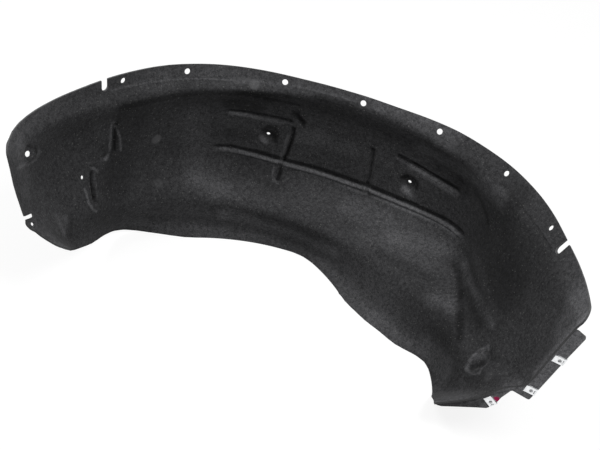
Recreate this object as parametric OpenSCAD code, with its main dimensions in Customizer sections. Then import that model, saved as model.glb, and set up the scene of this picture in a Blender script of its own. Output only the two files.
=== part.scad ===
// Wheel arch liner of moulded black felt, with three clip nuts on its rear foot.
// The wheel turns about Z. +X runs along the car to the rear foot, +Y up to the crown
// of the arch, +Z out of the car. It lies as in the photograph, on its inner edge, and
// the row's origin is the middle of its box's base.

/* [Arch] */
// radius of the arch opening that the lip follows
arch_r = 382; // [300:1:460]
// depth from the lip's plane to the inner edge's plane
depth = 270; // [200:1:340]
// height of the two feet over the wheel's axis
foot_h = 30; // [10:1:60]
// thickness of the felt
felt_t = 3; // [2:0.1:5]

/* [Relief] */
// depth of the long stiffening groove and of the cross grooves
groove_h = 5; // [2:0.5:8]
// half width of a groove's flat bottom
groove_w = 2; // [1:0.1:4]
// how far a groove's side runs out
groove_run = 3.4; // [2:0.1:8]
// depth of the two crown fixing dimples
dimple_h = 7; // [3:0.5:12]

/* [Fixing holes] */
// hole in the lip for a push-in clip
lip_hole_d = 8.5; // [5:0.1:12]
// how far behind the lip's edge its holes are
lip_inset = 9.5; // [6:0.5:14]
// hole in a crown dimple, for a nut on a stud
crown_hole_d = 5.6; // [4:0.1:9]
// hole in the front foot's tilted seat
front_hole_d = 8; // [4:0.1:10]
// hole beside the front grooves
side_hole_d = 5.6; // [4:0.1:9]
// hole in the small front tab
tab_hole_d = 4.6; // [3:0.1:8]
// width of the two open slots in the lip
slot_w = 11; // [4:0.5:14]

/* [Rear foot] */
// how far the turned-out tabs reach beyond their notches
tab_reach = 12; // [8:0.5:16]
// width of a notch that holds a clip nut
notch_w = 13; // [11.5:0.5:16]

/* [Clip nuts] */
// width of a clip nut
clip_w = 11; // [9:0.5:14]
// length of a clip nut's leaf
clip_l = 16; // [12:0.5:22]
// thickness of the clip's sheet
clip_t = 0.8; // [0.5:0.1:1.2]
// hole in a clip nut
clip_hole_d = 4.2; // [3:0.1:6]

/* [Hidden] */
$fn = 32;

felt = [0.09, 0.09, 0.095];
zinc = [0.86, 0.87, 0.88];

ky = depth / 270;
foot_a = acos(foot_h / (arch_r - 9));
// from the wheel's axis to the middle of the liner's own box
to_base = [0, -(arch_r + foot_h - 2.6) / 2, 0];

// Guide curves from the lip to the inner edge. Each station is
// [angle from the crown, distance behind the lip's plane, radius over arch_r].
lip = [
    [-85, 0, -11], [-80, 0, 2], [-74, 0, 6], [-58, 0, 4], [-48, 0, 8], [-38, 0, 12],
    [-28, 0, 8], [-10, 0, -10], [0, 0, -14], [12, 0, -12], [26, 0, 2], [40, 0, 5],
    [50, 0, 1], [64, 0, -10], [85, 0, -9]
];
bead = [
    [-85, 14, -14], [-74, 15, 2], [-58, 18, 0], [-48, 20, 5], [-38, 20, 4], [-23, 20, -3],
    [-10, 12, -15], [0, 11, -18], [12, 12, -19], [26, 15, -8], [40, 20, -10], [52, 22, -18],
    [64, 18, -22], [85, 14, -13]
];
crest = [
    [-85, 31, -19], [-74, 27, -4], [-58, 32, -10], [-48, 35, -14], [-38, 34, -10],
    [-23, 29, -17], [-10, 22, -21], [0, 21, -22], [12, 21, -25], [26, 27, -17],
    [40, 30, -19], [52, 33, -26], [68, 32, -31], [85, 26, -18]
];
floor_out = [
    [-85, 60, -27], [-74, 66, -4], [-64, 75, 8], [-54, 78, 1], [-43, 74, -4], [-33, 70, 4],
    [-22, 62, 4], [-10, 56, -5], [0, 55, -9], [12, 63, -8], [24, 69, 4], [33, 78, 5],
    [43, 80, -22], [54, 80, -44], [70, 78, -45], [85, 62, -28]
];
floor_in = [
    [-85, 105, -44], [-70, 138, -30], [-60, 150, -44], [-50, 160, -18], [-40, 164, 2],
    [-20, 166, 6], [-8, 170, -6], [6, 173, -9], [20, 172, -3], [32, 166, 4], [38, 168, -6],
    [47, 172, -62], [57, 174, -82], [70, 172, -86], [85, 138, -46]
];
ridge = [
    [-85, 118, -60], [-70, 166, -52], [-60, 183, -50], [-50, 203, -38], [-40, 203, -40],
    [-20, 200, -54], [0, 195, -83], [12, 191, -90], [20, 189, -94], [32, 187, -106],
    [45, 189, -108], [57, 195, -108], [70, 196, -108], [85, 150, -72]
];
ledge = [
    [-85, 126, -81], [-70, 188, -60], [-60, 213, -50], [-50, 236, -26], [-40, 252, -24],
    [-24, 254, -42], [-2, 254, -56], [8, 254, -76], [17, 255, -104], [28, 256, -121],
    [43, 256, -123], [54, 255, -108], [68, 254, -117], [85, 184, -104]
];
edge = [
    [-85, 130, -107], [-70, 198, -69], [-60, 227, -55], [-50, 252, -24], [-46, 262, -16],
    [-40, 270, -27], [-32, 270, -49], [-12, 270, -57], [0, 270, -63], [6, 270, -84],
    [18, 270, -127], [28, 270, -139], [42, 270, -137], [52, 270, -112], [60, 270, -121],
    [67, 268, -131], [72, 247, -142], [76, 237, -146], [85, 212, -151]
];
guides = [lip, bead, crest, floor_out, floor_in, ridge, ledge, edge];

function pick(tab, a, c) = lookup(a, [for (k = tab) [k[0], k[c]]]);
function eased(tab, a, c) =
    (pick(tab, a - 3, c) + 2 * pick(tab, a, c) + pick(tab, a + 3, c)) / 4;

// one section of the liner as eight [radius, distance behind the lip] points
function section(a) = [for (g = guides) [arch_r + eased(g, a, 2), ky * eased(g, a, 1)]];

// a point along a section, with the corner at each guide curve rounded
round_u = 0.3;
function mix(p, q, w) = p * (1 - w) + q * w;
function along(sec, u) =
    let (i = min(max(round(u), 0), 7), w = (u - i) / round_u)
    i == 0 || i == 7 || abs(w) >= 1
        ? let (k = min(floor(u), 6)) mix(sec[k], sec[k + 1], u - k)
        : let (v = (w + 1) / 2, p = mix(sec[i], sec[i - 1], round_u),
               q = mix(sec[i], sec[i + 1], round_u))
          mix(mix(p, sec[i], v), mix(sec[i], q, v), v);

// past 65 degrees the sections lean, so that each foot ends at foot_h all along
front_sec = section(-foot_a);
rear_sec = section(foot_a);
function lean(a, u) =
    abs(a) <= 65 ? a :
    let (r = along(a < 0 ? front_sec : rear_sec, u)[0], b = acos(foot_h / r) - foot_a)
    a + sign(a) * b * (abs(a) - 65) / (foot_a - 65);

function place(a, ry) = [ry[0] * sin(a), ry[0] * cos(a), depth - ry[1]];
function base(a, u, sec) = place(lean(a, u), along(sec, u));
function unit(v) = v / norm(v);
// the side towards the car's body
function out_dir(a, u, sec) = unit(cross(
    base(a + 0.5, u, section(a + 0.5)) - base(a - 0.5, u, section(a - 0.5)),
    base(a, min(u + 0.05, 7), sec) - base(a, max(u - 0.05, 0), sec)));

// grooves pressed towards the body: [depth, half width, run-out, [[angle, u], ...]]
g = groove_h;
w = groove_w;
e = groove_run;
grooves = [
    [g, w, e, [[-25, 3.76], [-17, 3.8], [-10, 3.83], [6, 3.83], [18, 3.81], [26, 3.79],
        [35, 3.78]]],
    [g - 1, w, e, [[-23.5, 3.12], [-18, 3.16], [-10.3, 3.19]]],
    [g, w + 1, e, [[15.5, 3.14], [18.5, 3.17], [22, 3.2], [25.5, 3.2], [30, 3.15]]],
    [g - 1, w, e, [[-9.2, 3.3], [-9.6, 3.62], [-10.4, 3.85], [-11, 4.05]]],
    [g - 1, w, e, [[9.1, 3.22], [9.7, 3.62], [9.8, 3.83], [10.9, 3.98]]],
    [g, 2 * w, e, [[-9.6, 3.02], [-7.6, 3.16]]],
    [g, w, e, [[-51.7, 2.9], [-51.8, 3.2], [-53, 3.5], [-57.6, 3.54]]],
    [g - 2, w, e, [[-51.7, 2.9], [-50.3, 3.13], [-49.5, 3.45]]],
    [g, w, e, [[-57.6, 3.54], [-59.1, 3.87], [-59.2, 4.2], [-58.3, 4.4]]],
    [g + 2, 4, 7, [[71.8, 4.1], [72.4, 4.55], [70.6, 4.85]]],
    [4, 4, 12, [[30.5, 3], [32.5, 3.1]]]
];
// round dimples with a flat seat: [angle, u, depth, seat radius, run-out], and the
// direction out of a seat that is tilted from the sheet
dimples = [
    [-14.35, 3.5, dimple_h, 6, 7],
    [18.7, 3.51, dimple_h, 7, 8],
    [-76.4, 2.47, 0, 8, 8, [-0.69, 0.55, -0.47]],
    [-84.4, 4.31, 0, 5, 7, [-0.59, 0.36, -0.73]]
];
dimple_holes = [crown_hole_d, crown_hole_d, front_hole_d, tab_hole_d];

function spot(a, u) = base(a, u, section(a));
function spot_dir(a, u) = out_dir(a, u, section(a));
function fade(d, flat, run) =
    let (v = min(max((d - flat) / run, 0), 1)) 1 - v * v * (3 - 2 * v);
function to_segment(p, a, b) =
    let (v = min(max((p - a) * (b - a) / ((b - a) * (b - a)), 0), 1)) norm(p - a - v * (b - a));
function to_line(p, line) = min([for (i = [1 : len(line) - 1])
    to_segment(p, line[i - 1], line[i])]);

groove_lines = [for (k = grooves) [for (q = k[3]) spot(q[0], q[1])]];
seats = [for (k = dimples)
    [spot(k[0], k[1]), len(k) > 5 ? unit(k[5]) : spot_dir(k[0], k[1])]];

// how far the point p of the plain surface, with its direction n, is pressed out
function pressed(p, n) =
    let (
        cut = max([for (i = [0 : len(grooves) - 1])
            let (k = grooves[i]) k[0] * fade(to_line(p, groove_lines[i]), k[1], k[2])]),
        cups = [for (i = [0 : len(dimples) - 1])
            let (k = dimples[i], s = seats[i], f = fade(norm(p - s[0]), k[3], k[4]))
            if (f > 0) [f, (k[2] - (p - s[0]) * s[1]) / (n * s[1])]])
    len(cups) == 0 ? cut : cut * (1 - cups[0][0]) + cups[0][0] * cups[0][1];

// fixing holes along the lip: [angle, u], and the open slots between them:
// [angle, length]
lip_holes = [for (a = [-48.7, -34.2, -13.3, 4.6, 22.5, 40.2, 58.2])
    [a, lip_inset / eased(bead, a, 1)]];
lip_slots = [[-53.3, 16], [64.5, 18]];

// seen along Y: [x, distance behind the lip] of the rear tabs' outer outline, and
// [x, distance behind the lip, turn] of each clip nut's screw hole
tab_outline = [
    [230, 213], [234, 216], [240, 216], [257, 210],
    [283, 201], [296, 197], [304, 188], [309, 172], [318, 155],
    [343, 163], [350, 140], [367, 81], [380, 39], [366, 31]];
clip_spots = [[360, 85, -13], [341, 146, -13], [298, 184, -44]];

rows = [
    -foot_a, -84.4, -83, -81, -79, -77.8, -76.4, -75, -73.8, -71, -67, -63.5, -61, -60, -58.8,
    -57, -55, -53, -51.8,
    -50.4, -49, -45, -41, -37, -33, -29, -26, -24.5, -21, -17.8, -16.2, -15, -13.8, -12.6,
    -11.4, -10.5, -9.8, -9.1, -8.2, -6.6, -3, 1, 5, 8, 9, 9.8, 10.6, 12, 14.5, 16.4, 17.8,
    19.1, 20.4, 21.8, 24.5, 27.5, 30.5, 33, 35.5, 38, 41, 44, 48, 53, 58, 63, 67, 69.4, 71,
    72.6, 74.2, 76, 80, foot_a];
cols = [
    0, 0.8, 1.2, 1.75, 1.95, 2.2, 2.34, 2.47, 2.6, 2.75, 2.92, 3.06, each [3.12 : 0.035 : 3.24],
    3.32, each [3.38 : 0.06 : 3.6], 3.68, each [3.74 : 0.036 : 3.9], 3.96, 4.12, 4.3, 4.5,
    4.7, 4.95, 5.25, 5.75, 6.25, 7];

felt_shell();
clip_nut_at(clip_spots[0]);  // clip_nut_outer
clip_nut_at(clip_spots[1]);  // clip_nut_middle
clip_nut_at(clip_spots[2]);  // clip_nut_inner

module felt_shell() {
    color(felt) translate(to_base) difference() {
        union() {
            moulded_sheet();
            rear_tabs();
        }
        for (k = lip_holes) drill(k[0], k[1], lip_hole_d);
        for (i = [0 : len(dimples) - 1]) bore(seats[i][0], seats[i][1], dimple_holes[i]);
        drill(-60.8, 3.68, side_hole_d);
        for (k = lip_slots) lip_slot(k[0], k[1]);
        front_slit();
        for (k = corners) corner_cut(k[0], k[1], k[2]);
    }
}

// the moulded sheet: the wheel's side, and the same surface one felt thickness out
module moulded_sheet() {
    na = len(rows);
    nu = len(cols);
    grid = [for (a = rows) let (s = section(a)) for (u = cols)
        let (p = base(a, u, s), n = out_dir(a, u, s),
             cut = abs(a) == foot_a ? unit([n[0], 0, n[2]])
                 : u == 7 ? unit([n[0], n[1], 0]) : n)
        [p + pressed(p, n) * cut, cut]];
    m = na * nu;
    function id(i, j) = i * nu + j;
    skin = [for (i = [0 : na - 2]) for (j = [0 : nu - 2]) each [
        [id(i, j), id(i + 1, j), id(i, j + 1)],
        [id(i + 1, j), id(i + 1, j + 1), id(i, j + 1)]]];
    rim = concat(
        [for (j = [0 : nu - 1]) id(0, j)],
        [for (i = [1 : na - 1]) id(i, nu - 1)],
        [for (j = [nu - 2 : -1 : 0]) id(na - 1, j)],
        [for (i = [na - 2 : -1 : 1]) id(i, 0)]);
    nr = len(rim);
    polyhedron(
        concat([for (q = grid) q[0]], [for (q = grid) q[0] + felt_t * q[1]]),
        concat(
            skin,
            [for (f = skin) [m + f[0], m + f[2], m + f[1]]],
            [for (k = [0 : nr - 1]) let (p = rim[k], q = rim[(k + 1) % nr]) each [
                [p, q, m + p], [q, m + q, m + p]]]),
        convexity = 6);
}

// the tabs turned out from the rear foot's edge, with a notch for each clip nut
foot_line = [for (u = [2.2, 2.6, 3, 3.5, 3.8, 4, 4.3, 4.7, 5, 5.3, 5.7, 6, 6.3, 6.8])
    let (s = section(foot_a), p = base(foot_a, u, s), n = out_dir(foot_a, u, s))
    p + 1.5 * unit([n[0], 0, n[2]])];
module rear_tabs() {
    translate([0, foot_h + felt_t, 0]) rotate([90, 0, 0]) linear_extrude(felt_t)
        difference() {
            offset(r = 3) offset(delta = -3) polygon(concat(
                [for (p = foot_line) [p[0], p[2]]],
                [for (q = tab_outline) [q[0], depth - ky * q[1]]]));
            for (k = clip_spots) translate([k[0], depth - ky * k[1]]) rotate(k[2])
                translate([-tab_reach / 2, -notch_w / 2]) square([60, notch_w]);
        }
}

// a round hole through the sheet at p, along the direction n
module bore(p, n, d) {
    translate(p) rotate([0, acos(n[2]), atan2(n[1], n[0])])
        cylinder(h = 44, d = d, center = true);
}
// a round hole square to the sheet
module drill(a, u, d) bore(spot(a, u), spot_dir(a, u), d);

// an open slot with a round end, running in from the lip's edge
module lip_slot(a, long) {
    rotate([0, 0, -a]) hull()
        for (z = [depth - long + slot_w / 2, depth + 20]) translate([0, arch_r, z])
            rotate([90, 0, 0]) cylinder(h = 60, d = slot_w, center = true);
}

// the narrow slit over the small front tab, open at the foot's edge
module front_slit() {
    n = spot_dir(-83, 3.9);
    hull() {
        bore(spot(-foot_a, 3.78) - [0, 10, 0], n, 5);
        bore(spot(-81.7, 4.02), n, 5);
    }
}

// the sheet's free corners, rounded: [angle, u, radius]
corners = [[-foot_a, 0, 12], [foot_a, 0, 16], [-foot_a, 7, 24]];
module corner_cut(a, u, r) {
    p = spot(a, u);
    n = spot_dir(a, u);
    foot_way = unit(spot(a, abs(u - 0.5)) - p);
    rim_way = unit(spot(a - sign(a), u) - p);
    half = acos(foot_way * rim_way) / 2;
    reach = r / tan(half);
    way = unit(foot_way + rim_way);
    side = cross(n, way);
    multmatrix([for (i = [0 : 2]) [way[i], side[i], n[i], p[i]]])
        linear_extrude(40, center = true) difference() {
            polygon([
                [r / sin(half), 0], reach * [cos(half), sin(half)] + 5 * [-sin(half), cos(half)],
                [-20, 0], reach * [cos(half), -sin(half)] - 5 * [sin(half), cos(half)]]);
            translate([r / sin(half), 0]) circle(r, $fn = 48);
        }
}

// a folded sheet nut: its mouth grips the notch's bottom and its fold faces out
module clip_nut_at(k) {
    translate(to_base + [k[0], foot_h + felt_t / 2, depth - ky * k[1]])
        rotate([0, -k[2], 0]) rotate([-90, 0, 0]) clip_nut();
}

module clip_nut() {
    gap = felt_t / 2 + 0.1;
    half = clip_l / 2;
    color(zinc) difference() {
        union() {
            rotate([90, 0, 0]) linear_extrude(clip_w, center = true) difference() {
                fold_profile(gap + clip_t, half);
                fold_profile(gap, half - clip_t);
            }
            translate([0, 0, gap]) cylinder(h = clip_t + 2.2, d = clip_hole_d + 2.6);
        }
        translate([0, 0, gap - 0.5]) cylinder(h = 6, d = clip_hole_d);
        translate([0, 0, -gap - 3]) cylinder(h = 6, d = clip_hole_d + 1);
    }
}

// the side view of the fold, from the open mouth to the rounded end
module fold_profile(r, x) {
    translate([-clip_l / 2 - 1 + (x < clip_l / 2 ? -1 : 1), -r])
        square([x + clip_l / 2 + 1 - r + (x < clip_l / 2 ? 1 : -1), 2 * r]);
    translate([x - r, 0]) circle(r);
}
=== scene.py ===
"""Wheel arch liner of moulded black felt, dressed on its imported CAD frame.

The felt shell is a finer copy of the CAD sheet, on nearly the same guide curves, with its
grooves and holes and with the unevenness, edges and finish of needled felt. The three clip
nuts are folded zinc-plated steel. Lengths in the tables are millimetres about the wheel's
axis: the wheel turns about Z, +X is the rear foot, +Y the crown and +Z out of the car.
TO_BASE shifts every piece from there to the frame's origin, the middle of the liner's base.
"""

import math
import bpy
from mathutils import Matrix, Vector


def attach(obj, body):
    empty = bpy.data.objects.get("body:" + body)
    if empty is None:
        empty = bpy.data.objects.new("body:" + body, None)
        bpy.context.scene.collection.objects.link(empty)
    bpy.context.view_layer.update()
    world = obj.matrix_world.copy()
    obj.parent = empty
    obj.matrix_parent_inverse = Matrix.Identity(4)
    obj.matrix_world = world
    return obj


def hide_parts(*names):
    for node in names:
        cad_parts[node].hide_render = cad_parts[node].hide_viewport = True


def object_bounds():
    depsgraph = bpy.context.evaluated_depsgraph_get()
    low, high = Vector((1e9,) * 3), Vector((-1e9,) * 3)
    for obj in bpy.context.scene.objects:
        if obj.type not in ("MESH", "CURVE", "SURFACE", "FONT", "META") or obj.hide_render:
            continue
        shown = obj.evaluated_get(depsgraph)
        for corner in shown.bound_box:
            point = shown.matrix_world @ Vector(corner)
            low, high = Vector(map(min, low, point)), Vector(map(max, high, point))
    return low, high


bl_info = {
    "name": "Wheel arch liner",
    "version": (1, 0, 0),
    "blender": (4, 5, 0),
    "location": "3D View > Sidebar > Liner",
    "description": "Builds a moulded felt wheel arch liner with its clip nuts",
    "category": "Add Mesh",
}

import bmesh
import bpy
from bpy.props import FloatProperty, FloatVectorProperty, PointerProperty
from mathutils import Matrix, Quaternion, Vector, noise

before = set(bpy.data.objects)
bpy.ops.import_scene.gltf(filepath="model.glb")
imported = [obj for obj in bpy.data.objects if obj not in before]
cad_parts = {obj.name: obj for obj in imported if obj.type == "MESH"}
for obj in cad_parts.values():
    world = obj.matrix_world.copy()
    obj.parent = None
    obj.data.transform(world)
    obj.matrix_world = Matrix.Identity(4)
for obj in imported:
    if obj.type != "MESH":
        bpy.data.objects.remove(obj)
CAD_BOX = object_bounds()

MM = 0.001
SHELL_NODE = "felt_shell"
CLIP_NODES = ("clip_nut_outer", "clip_nut_middle", "clip_nut_inner")
# edges sharper than this, in degrees, show as edges
FELT_SHARP = 50
CLIP_SHARP = 35

# The arch: its radius, its depth from the lip's plane to the table, the height of the feet
# over the wheel's axis, and how far the middle of the part's box lies under their middle
ARCH_R = 382
DEPTH = 270
FOOT_H = 30
MIDDLE_DROP = 1.3
TO_BASE = Vector((0, MIDDLE_DROP - (ARCH_R + FOOT_H) / 2, 0))
# from this angle on, the sections turn until the foot's edge lies level
LEAN_FROM = 65
# how far each guide curve's corner is rounded, in guide positions, and its stations eased,
# in degrees
GUIDE_ROUND = 0.3
GUIDE_EASE = 3

# Guide curves from the lip to the inner edge. Each station is
# (angle from the crown, distance behind the lip's plane, radius over ARCH_R).
LIP = [
    (-85, 0, -11), (-80, 0, 2), (-74, 0, 6), (-58, 0, 4), (-48, 0, 8), (-38, 0, 12),
    (-28, 0, 8), (-10, 0, -10), (0, 0, -14), (12, 0, -12), (26, 0, 2), (40, 0, 5),
    (50, 0, 1), (64, 0, -10), (85, 0, -9),
]
BEAD = [
    (-85, 14, -14), (-74, 15, 2), (-58, 18, 0), (-48, 20, 5), (-38, 20, 4), (-23, 20, -3),
    (-10, 12, -15), (0, 11, -18), (12, 12, -19), (26, 15, -8), (40, 20, -10), (52, 22, -18),
    (64, 18, -22), (85, 14, -13),
]
CREST = [
    (-85, 31, -19), (-74, 27, -4), (-58, 32, -10), (-48, 35, -14), (-38, 34, -10),
    (-23, 29, -17), (-10, 22, -21), (0, 21, -22), (12, 21, -25), (26, 27, -17),
    (40, 30, -19), (52, 33, -26), (68, 32, -31), (85, 26, -18),
]
FLOOR_OUT = [
    (-85, 60, -27), (-74, 66, -4), (-64, 75, 8), (-54, 78, 1), (-43, 74, -4), (-33, 70, 4),
    (-22, 62, 4), (-10, 56, -5), (0, 55, -9), (12, 63, -8), (24, 69, 4), (33, 78, 5),
    (43, 80, -22), (54, 80, -44), (70, 78, -45), (85, 62, -28),
]
FLOOR_IN = [
    (-85, 105, -44), (-70, 138, -30), (-60, 150, -44), (-50, 160, -18), (-40, 164, 2),
    (-20, 166, 6), (-8, 170, -6), (6, 173, -9), (20, 172, -3), (32, 166, 4), (38, 168, -6),
    (47, 172, -62), (57, 174, -82), (70, 172, -86), (85, 138, -46),
]
RIDGE = [
    (-85, 118, -60), (-70, 166, -52), (-60, 183, -50), (-50, 203, -38), (-40, 203, -40),
    (-20, 200, -54), (0, 195, -83), (12, 191, -90), (20, 189, -94), (32, 187, -106),
    (45, 189, -108), (57, 195, -108), (70, 196, -108), (85, 150, -72),
]
LEDGE = [
    (-85, 126, -81), (-70, 188, -60), (-60, 213, -50), (-50, 236, -26), (-40, 252, -24),
    (-24, 254, -42), (-2, 254, -56), (8, 254, -76), (17, 255, -104), (28, 256, -121),
    (43, 256, -123), (54, 255, -108), (68, 254, -117), (85, 184, -104),
]
EDGE = [
    (-85, 130, -107), (-70, 201, -69), (-60, 228, -55), (-50, 252, -24), (-46, 262, -16),
    (-40, 270, -27), (-32, 270, -49), (-12, 270, -57), (0, 270, -63), (6, 270, -84),
    (18, 270, -127), (28, 270, -139), (42, 270, -137), (52, 270, -112), (60, 270, -121),
    (67, 268, -131), (72, 247, -142), (76, 237, -146), (85, 212, -151),
]
GUIDES = [LIP, BEAD, CREST, FLOOR_OUT, FLOOR_IN, RIDGE, LEDGE, EDGE]
LAST_GUIDE = len(GUIDES) - 1
# angle at which the lip reaches the height of the feet
FOOT_ANGLE = math.degrees(math.acos(FOOT_H / (ARCH_R + LIP[-1][2])))

# Share of the grid's rows up to each angle, and of its columns up to each guide position:
# (first, last, spacing), closer where the relief is fine
ROW_SPACING = [
    (-FOOT_ANGLE, -62, 0.62), (-62, -48, 0.24), (-48, -27, 0.8), (-27, -17, 0.5),
    (-17, -6, 0.24), (-6, 8, 0.7), (8, 12, 0.25), (12, 23, 0.38), (23, 36, 0.6),
    (36, 66, 0.85), (66, 76, 0.4), (76, FOOT_ANGLE, 0.62),
]
COLUMN_SPACING = [
    (0, 0.9, 0.225), (0.9, 1.1, 0.05), (1.1, 2, 0.15), (2, 3, 0.083), (3, 3.26, 0.0125),
    (3.26, 3.36, 0.033), (3.36, 3.64, 0.0165), (3.64, 3.76, 0.03), (3.76, 3.94, 0.009),
    (3.94, 4.5, 0.043), (4.5, 5.2, 0.058), (5.2, 6, 0.1), (6, 7, 0.166),
]

# the last of the guide positions, over which the sheet comes to stand square to the table,
# and over which its unevenness fades
EDGE_FLAT = 0.4
EDGE_SETTLE = 0.25
# degrees between the points of a line of relief, so that it keeps to the arch
LINE_STEP = 4
# short ways round the arch and across the sheet, to find which way it faces
SHORT_TURN = 0.5
SHORT_STEP = 0.05
# keeps the noise of the small lumps apart from that of the broad waves
LUMP_SHIFT = Vector((7, 3, 5))

# Grooves pressed towards the body: (depth over the groove depth, half width of the flat
# bottom, run-out of its sides, [(angle, guide position), ...])
GROOVES = [
    (1.1, 2.3, 2.6, [(-25, 3.78), (-17, 3.82), (-10, 3.84), (-4, 3.83), (8, 3.82),
        (18, 3.82), (26, 3.81), (35, 3.8)]),
    (0.8, 2, 2.8, [(-23.5, 3.12), (-18, 3.16), (-10.3, 3.19)]),
    (1, 3, 3, [(15.5, 3.14), (18.5, 3.17), (22, 3.2), (25.5, 3.2), (30, 3.15)]),
    (1.1, 1.8, 2.2, [(-9.2, 3.3), (-9.5, 3.62), (-10.1, 3.85)]),
    (1, 2.2, 2.6, [(-10.2, 3.85), (-10.8, 4), (-11, 4.16)]),
    (0.9, 2, 2.6, [(9.1, 3.22), (9.7, 3.62), (9.8, 3.83), (10.9, 3.98)]),
    (0.8, 3, 3.4, [(-9.6, 3.02), (-7.6, 3.16)]),
    (1, 1.6, 2.8, [(-50.2, 2.95), (-50.3, 3.2), (-50.7, 3.48)]),
    (0.5, 2, 3.2, [(-51.4, 3.5), (-56.6, 3.54)]),
    (0.4, 2, 3.2, [(-51, 2.9), (-50.3, 3.13), (-49.5, 3.45)]),
    (1, 1.6, 2.8, [(-57.4, 3.58), (-58.7, 3.87), (-58.9, 4.2), (-58.2, 4.44)]),
    (1.2, 3, 10, [(71.4, 4.2), (71.8, 4.5), (70.8, 4.8)]),
    (0.8, 4, 12, [(30.5, 3), (32.5, 3.1)]),
]
# Fine relief that only the felt's finish shows: (height towards the body in millimetres,
# half width, run-out, [(angle, guide position), ...]), and a raised line is negative
FINE_RELIEF = [
    (1.8, 0.6, 2.6, [(-21.6, 2.29), (-15.3, 2.55), (-8.9, 2.7)]),
    (-2.2, 2, 13, [(36, 3.86), (47, 3.61), (57, 3.61), (64, 3.7)]),
    (-1.2, 3, 18, [(-69.5, 4.5), (-82.7, 5.6)]),
    (-0.7, 0.3, 1.5, [(-52, 1.05), (-38, 1.05), (-23, 1.02), (-10, 1), (3, 1)]),
    (-0.7, 0.3, 1.5, [(45, 1), (55, 1.02), (63, 1)]),
    (-0.8, 0.5, 2.5, [(15, 7), (16.5, 6.6), (19, 6.3)]),
    (-0.9, 0.3, 1.6, [(-24, 3.85), (-17, 3.89), (-10, 3.91), (6, 3.89), (18, 3.89), (26, 3.88),
        (34, 3.87)]),
    (3, 4, 16, [(-21, 4.1), (-14, 4.15), (-7, 4.2)]),
]
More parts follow.
